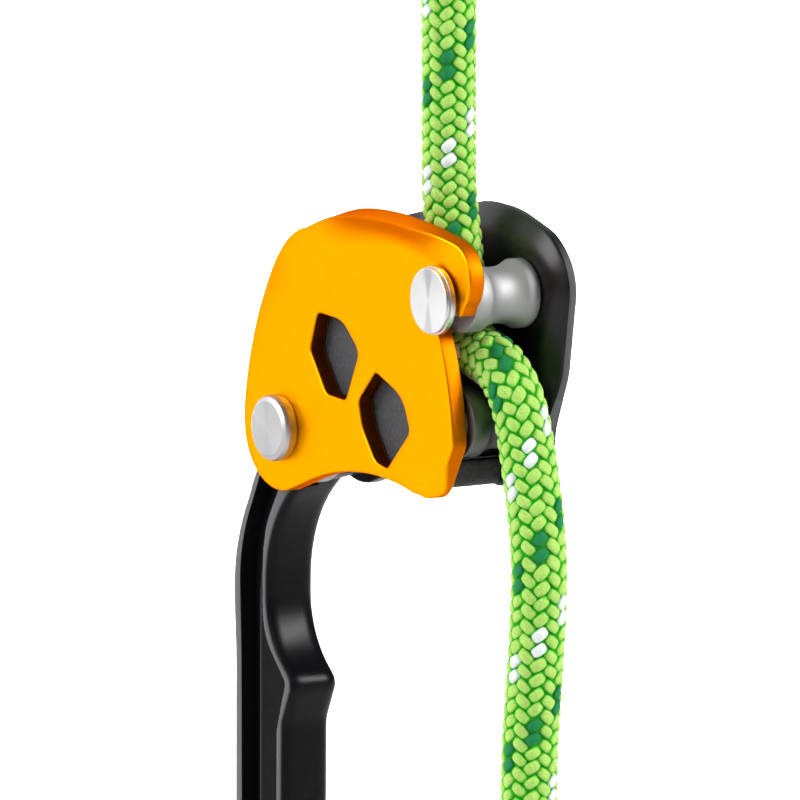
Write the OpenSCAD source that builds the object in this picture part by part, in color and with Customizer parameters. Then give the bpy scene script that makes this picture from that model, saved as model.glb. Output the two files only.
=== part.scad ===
// Friction rope brake for arborist climbing: two side plates, two spool
// bollards that bend the rope, a pivoted long arm with a carabiner eye,
// and the length of climbing rope that runs through it.
// X runs across the plates, Y from the swinging plate to the fixed one, Z up.
// The origin is on the rope's line, midway between the two bollards.

/* [Side plates] */
// Clear gap between the two side plates
plate_gap = 18; // [17:0.5:19]
// Thickness of the swinging side plate
moving_t = 4; // [3:0.5:5]
// Thickness of the fixed side plate
fixed_t = 3.5; // [3:0.5:5]
// How far each plate's lip leans outwards
lip_out = 3; // [1:0.5:3]

/* [Bollards] */
// Height of the upper bollard above the lower one
bollard_rise = 28; // [27.5:0.5:30]
// Radius of a bollard's rims
rim_r = 7.75; // [7.5:0.05:8]
// Radius of a bollard's waist
waist_r = 6.3; // [5.8:0.1:6.3]
// Radius of the upper pin's catch head
catch_r = 7.65; // [7:0.05:8]

/* [Pivot] */
// Distance of the pivot to the left of the upper pin
pivot_left = 64.5; // [64:0.5:65]
// Distance of the pivot below the upper pin
pivot_drop = 36; // [35.5:0.5:36.5]
// Radius of the pivot rivet's shank
shank_r = 5; // [4.5:0.5:5.5]
// Radius of the pivot rivet's head
rivet_head_r = 7.45; // [7:0.05:8]

/* [Arm] */
// Radius of the arm's round head at the pivot
arm_head_r = 12.5; // [12:0.5:13]
// Radius of the carabiner eye
eye_r = 10.5; // [9:0.5:11.5]
// Depth of the arm's channel on each face
channel_depth = 4; // [2:0.5:4.5]

/* [Rope] */
// Diameter of the rope
rope_d = 12.5; // [11.5:0.5:12.5]

/* [Hidden] */
$fn = 96;

// Depths along Y, from the swinging plate's outer face to the fixed plate's
moving_in = -plate_gap / 2;
moving_out = moving_in - moving_t;
fixed_in = plate_gap / 2;
fixed_out = fixed_in + fixed_t;
slip = 0.05;             // side clearance between parts that turn
block_front = moving_in + 0.3;
arm_front = -8.4;
arm_back = 4.8;
tongue_front = -2.5;
collar_t = 2.2;          // tail collars and nut behind the fixed plate
washer_t = 0.8;          // wave washer

// Radii of the fasteners and bushes
pin_tail_r = 4;
bollard_screw_r = 3;
block_screw_r = 2;
dowel_r = 2;
plate_bush_r = 6.5;
arm_bush_r = 7;
spacer_r = 13;

// Axes in the XZ plane
upper = [0, bollard_rise / 2];
lower = [-1, -bollard_rise / 2];
pivot = upper - [pivot_left, pivot_drop];
eye = [-30, -182];
reach = norm(upper - pivot);                 // pivot to upper pin
pin_angle = atan2(upper[1] - pivot[1], upper[0] - pivot[0]);
pin_r = 3.9;                                 // upper pin inside the notch
notch_r = pin_r + 0.25;

// Points of an arc about c, both ends included
function arc(c, r, a0, a1, n = 16) =
    [for (i = [0:n]) let (a = a0 + (a1 - a0) * i / n) c + r * [cos(a), sin(a)]];

function unit(v) = v / norm(v);

// Points that round the corner b between a and c with radius r
function fillet(a, b, c, r, n = 10) =
    r == 0 ? [b] :
    let (
        u = unit(a - b), v = unit(c - b),
        half = acos(u * v) / 2,
        centre = b + unit(u + v) * r / sin(half),
        start = b + u * r / tan(half) - centre,
        stop = b + v * r / tan(half) - centre,
        a0 = atan2(start[1], start[0]),
        turn = atan2(start[0] * stop[1] - start[1] * stop[0], start * stop)
    )
    arc(centre, r, a0, a0 + turn, n);

// A closed outline from corners [x, z, radius]
function rounded(corners) =
    let (n = len(corners), p = [for (k = corners) [k[0], k[1]]])
    [for (i = [0:n - 1])
        each fillet(p[(i + n - 1) % n], p[i], p[(i + 1) % n], corners[i][2])];

// Both plates share their left side, pivot lobe and lower edge
lobe_edge = arc(pivot - [0.4, 0], 14.3, 175, 282);
lower_edge = arc([-28.5, -98.3], 70, 112, 75.5);
left_edge = concat(
    arc([-49.7, 5.3], 19.5, 109.5, 145),
    arc([-3, -27.5], 76.7, 145, 174)
);
top_centre = [-19.8, -63.85];
top_r = 94.5;
finger_r = 8.25;
finger = top_centre + (top_r - finger_r) * [cos(74.2), sin(74.2)];

moving_outline = concat(
    lobe_edge,
    lower_edge,
    arc([-5.9, -24.7], 6.4, 250, 330),
    arc(pivot + (reach - notch_r - 3) * [cos(4), sin(4)], 3, -30, 4, 4),
    arc(pivot, reach - notch_r, 5, pin_angle - 1),
    arc(upper, notch_r, pin_angle + 180, pin_angle),
    arc(pivot, reach + notch_r, pin_angle - 1, 25.9, 4),
    arc([7.4, 12.4], 1.4, 215, 320, 6),
    arc(finger, finger_r, -48, 73),
    arc(top_centre, top_r, 74.2, 111.7),
    left_edge
);

fixed_top = [[6.5, -29.3], [14.2, 19], [6.5, 26.9], [-12, 32.3], [-46, 27]];
fixed_corner = concat(
    fillet(fixed_top[0], fixed_top[1], fixed_top[2], 12),
    fillet(fixed_top[1], fixed_top[2], fixed_top[3], 16),
    fillet(fixed_top[2], fixed_top[3], fixed_top[4], 36)
);
fixed_outline = concat(
    lobe_edge,
    lower_edge,
    fillet([-11, -30.5], fixed_top[0], fixed_top[1], 7),
    fixed_corner,
    left_edge
);
fixed_lip_edge = concat([[9.9, -8]], fixed_corner, [[-44, 27.6]]);
moving_lip_edge = arc(top_centre, top_r, 79, 108, 12);

window_left = [
    [-49.6, 5.6, 2], [-39.5, 4.9, 8], [-32.7, -1.4, 2.5],
    [-38.1, -12.9, 1.6], [-45.9, -12.3, 2.5], [-52.6, -2.9, 2.5]
];
window_right = [
    [-26.2, -5.1, 1.6], [-15.2, -9.6, 9], [-12.3, -17, 2], [-21.4, -26.2, 1.6],
    [-26.2, -25.2, 4], [-31.4, -18.2, 6], [-33, -12.2, 1.8]
];

// The block fills the plates' left half, clear of the rope and of the arm
block_corners = [
    [-62, 12, 6], [-25, 26, 8], [-23, 8, 20], [-20.5, -2, 8],
    [-11.5, -9, 6], [-10.5, -24, 2], [-9, -23.5, 1], [-9, -30.1, 1.5],
    [-28.5, -28.5, 60], [-50.5, -31, 3], [-48, -21, 6], [-56, -5, 12], [-67, -3, 6]
];
block_screw_places = [[-56, 8], [-30, 18], [-42, -24]];
dowel_places = [[-44, 14], [-16, -26]];

arm_corners = [
    [-75.5, -21, 0], [-92.2, -53, 40], [-90.8, -76, 60], [-90.8, -140, 70],
    [-42.7, -193.2, 0], [-30, -182, 0], [-20.2, -168.1, 0], [-70.8, -132, 45],
    [-70.2, -90, 5], [-65.8, -80.5, 4], [-76.7, -70.5, 20], [-76.3, -46.7, 28],
    [-57.5, -28.6, 0]
];
channel_corners = [
    [-78.2, -32, 1], [-88.2, -52, 38], [-87.4, -76, 60], [-87.2, -139, 66],
    [-59, -171.5, 2.5], [-54.5, -167.5, 2.5], [-82, -136, 60], [-81.7, -62, 36],
    [-79.4, -45.5, 14], [-71.8, -35.8, 1]
];

// Route of the rope's centreline in the plane Y = 0, as [x, z]
upper_route = [
    [-12.9, 14], [-12.9, 19], [-13.8, 25], [-15.1, 31], [-15.9, 38], [-16, 46],
    [-16, 54], [-16, 62], [-16, 70], [-16, 78], [-16, 86]
];
lower_route = [
    [-12.9, 14], [-12.9, 10.6], [-11.7, 7.2], [-9.2, 4.2], [-5.6, 1.8], [-1, 0.4], [3.5, -1],
    [7.6, -3.8], [11, -7.8], [13.4, -12.8], [15, -18], [16.6, -24], [18.2, -31],
    [19.4, -38], [20, -45], [19.8, -52], [19.2, -60], [18.3, -68], [17.4, -76],
    [16.5, -84], [16, -94], [16, -104]
];
rope_sides = 12;

// Extrudes an XZ outline between two depths
module slab(front, back) {
    translate([0, back, 0]) rotate([90, 0, 0]) linear_extrude(back - front) children();
}

// A cylinder along Y through an XZ point
module rod(at, r, front, back) {
    translate([at[0], back, at[1]]) rotate([90, 0, 0]) cylinder(r = r, h = back - front);
}

// A body of revolution about Y through an XZ point; profile is [r, y]
module turned(at, profile) {
    translate([at[0], 0, at[1]]) rotate([-90, 0, 0]) rotate_extrude() polygon(profile);
}

// In-plane normal of a route at point i
function route_normal(route, i) =
    let (
        before = route[max(i - 1, 0)], after = route[min(i + 1, len(route) - 1)],
        t = unit(after - before)
    )
    [-t[1], t[0]];

// Sweeps a round section along a route in the plane Y = 0
module swept(route, d) {
    n = len(route);
    points = [for (i = [0:n - 1]) let (m = route_normal(route, i))
        for (k = [0:rope_sides - 1]) let (a = 360 * k / rope_sides)
            [route[i][0] + d / 2 * cos(a) * m[0], d / 2 * sin(a),
             route[i][1] + d / 2 * cos(a) * m[1]]];
    sides = [for (i = [0:n - 2]) for (k = [0:rope_sides - 1])
        let (j = (k + 1) % rope_sides, p = i * rope_sides)
        [p + k, p + j, p + rope_sides + j, p + rope_sides + k]];
    start = [[for (k = [rope_sides - 1:-1:0]) k]];
    stop = [[for (k = [0:rope_sides - 1]) (n - 1) * rope_sides + k]];
    polyhedron(points, concat(start, sides, stop));
}

// Profile of a spool bollard along Y, with its bore
function spool(bore) = concat(
    [[bore, -8.3], [rim_r - 0.4, -8.3], [rim_r, -7.9]],
    [for (y = [-4.1:1.02:6.1]) let (s = (y - 1) / 5.1)
        [waist_r + (rim_r - waist_r) * s * s, y]],
    [[rim_r, fixed_in - 0.4], [rim_r - 0.4, fixed_in], [bore, fixed_in]]
);

module fixed_side_plate() {
    color("#202124") difference() {
        union() {
            slab(fixed_in, fixed_out) polygon(fixed_outline);
            lip(fixed_lip_edge, fixed_in, fixed_out, 1);
        }
        rod(upper, pin_tail_r, fixed_in - 1, fixed_out + 1);
        rod(lower, bollard_screw_r, fixed_in - 1, fixed_out + 1);
        rod(pivot, shank_r, fixed_in - 1, fixed_out + 1);
        for (p = block_screw_places) {
            rod(p, block_screw_r, fixed_in - 1, fixed_out + 1);
            turned(p, [[0, fixed_out - 2], [block_screw_r, fixed_out - 2], [4, fixed_out],
                       [4, fixed_out + 1], [0, fixed_out + 1]]);
        }
        for (p = dowel_places) rod(p, dowel_r, fixed_in - 1, fixed_in + 2);
    }
}

module spacer_block() {
    color("#3a3b3e") difference() {
        slab(block_front, fixed_in) polygon(rounded(block_corners));
        for (p = block_screw_places) rod(p, block_screw_r, -3, fixed_in + 1);
        for (p = dowel_places) rod(p, dowel_r, fixed_in - 6, fixed_in + 1);
    }
}

module upper_bollard() {
    color("silver") turned(upper, spool(pin_tail_r));
}

module lower_bollard() {
    color("silver") turned(lower, spool(bollard_screw_r));
}

// Stud with the round head that the swinging plate hooks behind
module upper_bollard_pin() {
    color("gainsboro") turned(upper, [
        [0, moving_out - 3], [catch_r - 0.9, moving_out - 3], [catch_r - 0.5, moving_out - 2.6],
        [catch_r - 0.5, moving_out - 2.1], [catch_r, moving_out - 1.9], [catch_r, moving_out - 0.4],
        [catch_r - 0.3, moving_out - 0.1], [pin_r, moving_out - 0.1], [pin_r, -8.3],
        [pin_tail_r, -8.3], [pin_tail_r, fixed_out + collar_t], [0, fixed_out + collar_t]
    ]);
}

// Ring swaged on the tail of a pin behind the fixed plate
module tail_collar(at, bore, r) {
    turned(at, [[bore, fixed_out], [r, fixed_out], [r, fixed_out + collar_t - 0.6],
                [r - 0.6, fixed_out + collar_t], [bore, fixed_out + collar_t]]);
}

module upper_pin_collar() {
    color("silver") tail_collar(upper, pin_tail_r, 7);
}

module lower_bollard_screw() {
    color("gainsboro") turned(lower, [
        [0, -8.7], [5, -8.7], [5, -8.3], [bollard_screw_r, -8.3],
        [bollard_screw_r, fixed_out + collar_t], [0, fixed_out + collar_t]
    ]);
}

module lower_screw_nut() {
    color("silver") difference() {
        rod(lower, 5.7, fixed_out, fixed_out + collar_t, $fn = 6);
        rod(lower, bollard_screw_r, fixed_out - 1, fixed_out + collar_t + 1);
    }
}

module pivot_rivet() {
    color("gainsboro") turned(pivot, [
        [0, moving_out - 3.5], [rivet_head_r - 1.4, moving_out - 3.5],
        [rivet_head_r - 0.4, moving_out - 3], [rivet_head_r, moving_out - 2.1],
        [rivet_head_r, moving_out - slip], [shank_r, moving_out - slip],
        [shank_r, fixed_out + collar_t], [0, fixed_out + collar_t]
    ]);
}

module pivot_rivet_collar() {
    color("silver") tail_collar(pivot, shank_r, 8);
}

// Sleeve on the rivet between the swinging plate's washer and the arm
module pivot_spacer() {
    color("silver") difference() {
        rod(pivot, spacer_r, moving_in + washer_t, tongue_front - slip);
        rod(pivot, shank_r, moving_in, 0);
    }
}

module wave_washer() {
    color("silver") difference() {
        rod(pivot, 8.5, moving_in + slip, moving_in + washer_t);
        rod(pivot, shank_r, moving_in - 1, 0);
    }
}

module rear_thrust_washer() {
    color("silver") difference() {
        rod(pivot, 9, arm_back + slip, fixed_in);
        rod(pivot, shank_r, arm_back, fixed_in + 1);
    }
}

// Countersunk screws that hold the block to the fixed plate
module block_screws() {
    color("dimgray") for (p = block_screw_places) difference() {
        turned(p, [[0, -3], [block_screw_r, -3], [block_screw_r, fixed_out - 2],
                   [4, fixed_out], [0, fixed_out]]);
        rod(p, 1.5, fixed_out - 1.2, fixed_out + 1, $fn = 6);
    }
}

module block_dowels() {
    color("silver") for (p = dowel_places)
        rod(p, dowel_r, fixed_in - 6, fixed_in + 2);
}

// Lip that leans out of a plate along an edge; side is -1 forwards, 1 backwards
module lip(edge, inner, outer, side) {
    n = len(edge) - 1;
    points = [for (i = [0:n])
        let (
            m = route_normal(edge, i), foot = edge[i] + 5.5 * m, tip = edge[i] + 0.5 * m,
            lean = side * lip_out * sqrt(sin(180 * i / n))
        )
        each [[foot[0], inner + side * slip, foot[1]], [tip[0], inner + lean, tip[1]],
              [tip[0], outer + lean, tip[1]], [foot[0], outer - side * slip, foot[1]]]];
    ends = [[0, 1, 2, 3], [4 * n + 3, 4 * n + 2, 4 * n + 1, 4 * n]];
    sides = [for (i = [0:n - 1]) for (k = [0:3]) let (j = (k + 1) % 4, p = 4 * i)
        [p + j, p + k, p + 4 + k, p + 4 + j]];
    mesh = concat(ends, sides);
    polyhedron(points, side < 0 ? [for (f = mesh) [f[3], f[2], f[1], f[0]]] : mesh);
}

module moving_side_plate() {
    color("#ffb31e") difference() {
        union() {
            slab(moving_out, moving_in) polygon(moving_outline);
            lip(moving_lip_edge, moving_in, moving_out, -1);
        }
        slab(moving_out - 1, moving_in + 1) polygon(rounded(window_left));
        slab(moving_out - 1, moving_in + 1) polygon(rounded(window_right));
        rod(pivot, plate_bush_r, moving_out - 1, moving_in + 1);
    }
}

module plate_bush() {
    color("goldenrod") difference() {
        rod(pivot, plate_bush_r, moving_out, moving_in);
        rod(pivot, shank_r + slip, moving_out - 1, moving_in + 1);
    }
}

module arm() {
    color("#18191b") difference() {
        union() {
            rod(pivot, arm_head_r, tongue_front, arm_back);
            rod(eye, eye_r + 6.5, arm_front, arm_back);
            slab(arm_front, arm_back) difference() {
                polygon(rounded(arm_corners));
                translate(pivot) circle(r = 14.5);
            }
            slab(tongue_front, arm_back) intersection() {
                polygon(rounded(arm_corners));
                translate(pivot) circle(r = 15);
            }
        }
        slab(arm_front - 1, arm_front + channel_depth) polygon(rounded(channel_corners));
        slab(arm_back - channel_depth, arm_back + 1) polygon(rounded(channel_corners));
        rod(pivot, arm_bush_r, arm_front - 1, arm_back + 1);
        rod(eye, eye_r, arm_front - 1, arm_back + 1);
    }
}

module arm_pivot_bush() {
    color("goldenrod") difference() {
        rod(pivot, arm_bush_r, tongue_front, arm_back);
        rod(pivot, shank_r + slip, tongue_front - 1, arm_back + 1);
    }
}

module rope_upper() {
    color("#a5d765") swept(upper_route, rope_d);
}

module rope_lower() {
    color("#a5d765") swept(lower_route, rope_d);
}

// Spliced eye above the sleeve, where the rope turns back into itself
eye_loop = [-16, 124];
sleeve_top = 108;

module rope_eye() {
    color("#a5d765") intersection() {
        translate([eye_loop[0], 0, eye_loop[1]]) rotate([90, 0, 0])
            rotate_extrude() translate([14, 0]) circle(d = rope_d, $fn = 24);
        translate([-60, -20, sleeve_top]) cube([100, 40, 60]);
    }
}

module rope_eye_sleeve() {
    color("#1b1c1e") hull() {
        translate([-16, 0, 86]) cylinder(d = rope_d + 1.6, h = 1, $fn = 32);
        translate([-16, 0, sleeve_top - 6]) scale([1.5, 1, 1])
            cylinder(d = rope_d + 2, h = 6, $fn = 32);
    }
}

module rope_end_sleeve() {
    color("#1b1c1e") hull() {
        translate([16, 0, -105]) cylinder(d = rope_d + 1.4, h = 1, $fn = 32);
        translate([16, 0, -128]) cylinder(d = rope_d + 1.2, h = 2, $fn = 32);
    }
}

fixed_side_plate();
spacer_block();
upper_bollard();
upper_bollard_pin();
upper_pin_collar();
lower_bollard();
lower_bollard_screw();
lower_screw_nut();
pivot_rivet();
pivot_rivet_collar();
pivot_spacer();
wave_washer();
rear_thrust_washer();
block_screws();
block_dowels();
moving_side_plate();
plate_bush();
arm();
arm_pivot_bush();
rope_upper();
rope_eye();
rope_eye_sleeve();
rope_lower();
rope_end_sleeve();
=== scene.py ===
import math
import random

import bpy
import numpy as np
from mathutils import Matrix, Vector
from mathutils.geometry import delaunay_2d_cdt


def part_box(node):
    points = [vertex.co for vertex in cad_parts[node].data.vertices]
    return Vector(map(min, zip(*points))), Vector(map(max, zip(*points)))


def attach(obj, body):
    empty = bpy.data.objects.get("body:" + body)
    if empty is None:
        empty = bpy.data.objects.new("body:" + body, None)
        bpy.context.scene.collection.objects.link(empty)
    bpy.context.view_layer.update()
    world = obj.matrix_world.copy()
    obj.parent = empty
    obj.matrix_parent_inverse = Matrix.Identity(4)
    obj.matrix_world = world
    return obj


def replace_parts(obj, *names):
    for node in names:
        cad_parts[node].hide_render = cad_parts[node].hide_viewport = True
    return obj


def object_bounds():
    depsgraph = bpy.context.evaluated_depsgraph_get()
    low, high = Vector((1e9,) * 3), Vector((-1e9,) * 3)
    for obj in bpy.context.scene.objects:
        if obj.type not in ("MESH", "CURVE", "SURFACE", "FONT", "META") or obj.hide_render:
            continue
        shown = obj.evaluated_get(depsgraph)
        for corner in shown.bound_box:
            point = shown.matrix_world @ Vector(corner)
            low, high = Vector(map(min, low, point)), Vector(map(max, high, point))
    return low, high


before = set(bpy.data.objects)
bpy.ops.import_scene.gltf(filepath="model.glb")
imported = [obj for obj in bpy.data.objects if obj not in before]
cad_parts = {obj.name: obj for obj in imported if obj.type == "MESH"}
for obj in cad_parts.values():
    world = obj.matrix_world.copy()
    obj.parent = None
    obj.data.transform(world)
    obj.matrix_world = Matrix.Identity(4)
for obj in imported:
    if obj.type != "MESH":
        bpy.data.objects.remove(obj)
cad_low, cad_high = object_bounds()

MM = 0.001               # the helpers below work in millimetres

# Depths along Y and axes in the XZ plane, read off the frame
moving_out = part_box("plate_bush")[0].y / MM
moving_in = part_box("plate_bush")[1].y / MM
fixed_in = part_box("rear_thrust_washer")[1].y / MM
fixed_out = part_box("upper_pin_collar")[0].y / MM
tail_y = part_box("upper_pin_collar")[1].y / MM


def centre_of(node):
    """Middle of a CAD node in the XZ plane, in millimetres."""
    low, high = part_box(node)
    return np.array([(low.x + high.x) / 2, (low.z + high.z) / 2]) / MM


UPPER = centre_of("upper_bollard")
LOWER = centre_of("lower_bollard")
PIVOT = centre_of("pivot_rivet")
EYE = np.array([-30.0, -182.0])
EYE_R = 10.5

# Radii and depth shared by the turned pieces and the holes that they sit in
PIN_TAIL_R, SCREW_R, SHANK_R = 4.0, 3.0, 5.0
PLATE_BUSH_R, ARM_BUSH_R = 6.5, 7.0
BOLLARD_FRONT = -8.3


# ---------------------------------------------------------------- camera

def add_camera():
    """The long lens that looks from the right and a little from above."""
    azimuth, elevation, distance = math.radians(56.5), math.radians(8.0), 6.0
    target = Vector((-35.6, 0.0, -13.5)) * MM
    back = Vector((math.sin(azimuth) * math.cos(elevation),
                   -math.cos(azimuth) * math.cos(elevation), math.sin(elevation)))
    data = bpy.data.cameras.new("camera")
    data.sensor_width = 36.0
    data.lens = 1215.0
    data.clip_start, data.clip_end = 0.05, 50.0
    cam = bpy.data.objects.new("camera", data)
    bpy.context.scene.collection.objects.link(cam)
    cam.location = target + back * distance
    cam.rotation_mode = "QUATERNION"
    cam.rotation_quaternion = (-back).to_track_quat("-Z", "Y")
    bpy.context.scene.camera = cam


add_camera()


# ---------------------------------------------------------------- materials

def node_material(name):
    """A new node material: (material, its nodes, its links, its Principled shader)."""
    material = bpy.data.materials.new(name)
    material.use_nodes = True
    nodes, links = material.node_tree.nodes, material.node_tree.links
    return material, nodes, links, nodes["Principled BSDF"]


def noise(nodes, links, scale, detail=3.0, stretch=(1, 1, 1), source="Object"):
    """Noise in object space; scale is in cycles per metre."""
    where = nodes.new("ShaderNodeTexCoord")
    mapping = nodes.new("ShaderNodeMapping")
    mapping.inputs["Scale"].default_value = stretch
    texture = nodes.new("ShaderNodeTexNoise")
    texture.inputs["Scale"].default_value = scale
    texture.inputs["Detail"].default_value = detail
    links.new(where.outputs[source], mapping.inputs["Vector"])
    links.new(mapping.outputs["Vector"], texture.inputs["Vector"])
    return texture.outputs["Fac"]


def remap(nodes, links, value, low, high, start=0.0, stop=1.0, smooth=False):
    """Maps start to stop onto low to high, and holds it there beyond them."""
    node = nodes.new("ShaderNodeMapRange")
    for key, number in (("From Min", start), ("From Max", stop),
                        ("To Min", low), ("To Max", high)):
        node.inputs[key].default_value = number
    if smooth:
        node.interpolation_type = "SMOOTHSTEP"
    links.new(value, node.inputs["Value"])
    return node.outputs["Result"]


def maths(nodes, links, operation, *values, clamp=False):
    """The result of a Math node; each value is a number or a socket."""
    node = nodes.new("ShaderNodeMath")
    node.operation = operation
    node.use_clamp = clamp
    for socket, value in zip(node.inputs, values):
        if isinstance(value, float):
            socket.default_value = value
        else:
            links.new(value, socket)
    return node.outputs[0]


def painted(nodes, name):
    """The value that paint() gave the vertices under that name."""
    node = nodes.new("ShaderNodeAttribute")
    node.attribute_name = name
    return node.outputs["Fac"]


def mix_colour(nodes, links, factor, a, b):
    """Mixes two colours, each a tuple or a socket."""
    node = nodes.new("ShaderNodeMix")
    node.data_type = "RGBA"
    links.new(factor, node.inputs["Factor"])
    for key, value in ((6, a), (7, b)):
        if isinstance(value, tuple):
            node.inputs[key].default_value = (*value, 1)
        else:
            links.new(value, node.inputs[key])
    return node.outputs[2]


def add_bump(nodes, links, shader, height, strength, distance):
    """Bump from a height of 0 to 1; distance is its depth in metres."""
    bump = nodes.new("ShaderNodeBump")
    bump.inputs["Strength"].default_value = strength
    bump.inputs["Distance"].default_value = distance
    links.new(height, bump.inputs["Height"])
    links.new(bump.outputs["Normal"], shader.inputs["Normal"])


def metal(name, dark, light, rough, metallic, grain, grain_strength, specular=0.5,
          drift_scale=60, bump=0.00005, rim=None):
    """Metal with slight colour drift, uneven roughness and a fine blasted grain; rim is
    the colour where the mesh's "rim" attribute is 1, which paints shade or highlight."""
    material, nodes, links, shader = node_material(name)
    drift = noise(nodes, links, drift_scale, 3)
    colour = mix_colour(nodes, links, drift, dark, light)
    if rim is not None:
        colour = mix_colour(nodes, links, painted(nodes, "rim"), colour, rim)
    links.new(colour, shader.inputs["Base Color"])
    smudge = noise(nodes, links, 180, 4)
    links.new(remap(nodes, links, smudge, rough - 0.04, rough + 0.05),
              shader.inputs["Roughness"])
    shader.inputs["Metallic"].default_value = metallic
    shader.inputs["Specular IOR Level"].default_value = specular
    if metallic == 1.0:
        edge_tint = tuple(0.9 * part + 0.1 for part in light)
        shader.inputs["Specular Tint"].default_value = (*edge_tint, 1)
    add_bump(nodes, links, shader, noise(nodes, links, grain, 2), grain_strength, bump)
    return material


def turned_steel(name, rough, painted_fan, grooves=0.5, shade=0.60):
    """Lathe-turned stainless steel: highlights fan out about the axis along Y, and a faced
    end is painted with pale wedges to either side of a darker line, a painted highlight."""
    material, nodes, links, shader = node_material(name)
    where = nodes.new("ShaderNodeTexCoord")
    parts = nodes.new("ShaderNodeSeparateXYZ")
    links.new(where.outputs["Object"], parts.inputs[0])
    turn = maths(nodes, links, "ARCTAN2", parts.outputs["Z"], parts.outputs["X"])
    # Painted highlight: the base colour is paler to either side of a darker line through the
    # axis.
    wedge = maths(nodes, links, "COSINE", maths(nodes, links, "MULTIPLY", turn, 2.0))
    share = remap(nodes, links, wedge, 1.0 - painted_fan, 1.0, -1.0, -0.78, smooth=True)
    drift = noise(nodes, links, 150, 3)
    tone = mix_colour(nodes, links, drift, (shade - 0.04,) * 3, (shade + 0.02,) * 3)
    links.new(mix_colour(nodes, links, share, (0.16, 0.16, 0.17), tone),
              shader.inputs["Base Color"])
    shader.inputs["Metallic"].default_value = 1.0
    fine = noise(nodes, links, 400, 2)
    links.new(remap(nodes, links, fine, rough - 0.015, rough + 0.02),
              shader.inputs["Roughness"])
    shader.inputs["Anisotropic"].default_value = grooves
    tangent = nodes.new("ShaderNodeTangent")
    tangent.direction_type = "RADIAL"
    tangent.axis = "Y"
    links.new(tangent.outputs["Tangent"], shader.inputs["Tangent"])
    return material


def yarn(name, crown, valley, rough=0.62, crown_glint=None):
    """Polyester yarn with fine filaments. Its colour paints light: a painted sheen brightens
    the crown, painted shade deepens the colour towards its edges, and pale flecks on the crown
    are painted glints."""
    material, nodes, links, shader = node_material(name)
    filament = noise(nodes, links, 1.0, 3, (3, 26, 1), "UV")
    speckle = noise(nodes, links, 1.0, 2, (22, 30, 1), "UV")
    mottled = maths(nodes, links, "MULTIPLY_ADD", speckle, 0.8, painted(nodes, "crown"))
    share = remap(nodes, links, mottled, -0.75, 0.5)
    tone = mix_colour(nodes, links, share, valley, crown)
    if crown_glint is not None:
        spots = remap(nodes, links, noise(nodes, links, 1.0, 3, (9, 15, 1), "UV"),
                      0.0, 1.0, 0.45, 0.62)
        patch = maths(nodes, links, "MULTIPLY", spots, share, clamp=True)
        tone = mix_colour(nodes, links, patch, tone, crown_glint)
    links.new(tone, shader.inputs["Base Color"])
    shader.inputs["Roughness"].default_value = rough
    shader.inputs["Specular IOR Level"].default_value = 0.25
    shader.inputs["Sheen Weight"].default_value = 0.05
    shader.inputs["Sheen Roughness"].default_value = 0.5
    shader.inputs["Subsurface Weight"].default_value = 0.15
    shader.inputs["Subsurface Radius"].default_value = (0.0006, 0.0012, 0.0003)
    add_bump(nodes, links, shader, filament, 0.55, 0.00025)
    return material


# The gold's rim colour is painted shade: a darker orange for the top lip, which faces down away
# from the light, and for the edge bevels, to keep their highlights orange.
GOLD = metal("gold_anodised", (0.98, 0.37, 0.001), (1.0, 0.40, 0.002), 0.36, 1.0,
             9000, 0.12, rim=(0.62, 0.155, 0.0005))
# Painted shade: a darker, deeper orange copy of the gold for the plate's outer walls, so that
# light on them stays orange.
GOLD_EDGE = metal("gold_edge_painted_shade", (0.66, 0.155, 0.0005), (0.80, 0.20, 0.001), 0.58, 1.0,
                  9000, 0.12)
# Painted shade: a near-brown copy of the gold for the walls of the bore and the windows, dark
# as if in shade.
GOLD_SHADED_WALL = metal("gold_wall_painted_shade", (0.14, 0.03, 0.0006), (0.22, 0.05, 0.001), 0.5, 1.0,
                  9000, 0.12)
BLACK = metal("black_anodised", (0.002, 0.002, 0.003), (0.005, 0.005, 0.006), 0.34, 0.0,
              7000, 0.15, 0.32)
# Its rim colour is a painted highlight: a pale grey band along the fixed plate's outer wall.
BLACK_EDGE = metal("black_edge_painted_highlight", (0.003, 0.003, 0.004), (0.006, 0.006, 0.007), 0.36, 0.0,
                   7000, 0.15, 0.45, rim=(0.13, 0.135, 0.14))
# Its rim colour is a painted highlight: pale grey on the arm's front faces and along the
# channel's edge.
FORGED = metal("black_forged", (0.0015, 0.0015, 0.002), (0.003, 0.003, 0.004), 0.34, 0.0,
               3000, 0.10, 0.12, rim=(0.105, 0.105, 0.11))
# A slightly darker black than the forging's faces: painted shade in the ledge and channel; the
# rougher, less shiny finish is the recess's own.
RECESS = metal("black_recess", (0.001, 0.001, 0.0015), (0.003, 0.003, 0.0035), 0.6, 0.0,
               2600, 0.35, 0.08)
BLOCK = metal("dark_block", (0.022, 0.023, 0.026), (0.085, 0.085, 0.09), 0.62, 0.0,
              2600, 1.0, 0.3, drift_scale=1400, bump=0.0003)
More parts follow.
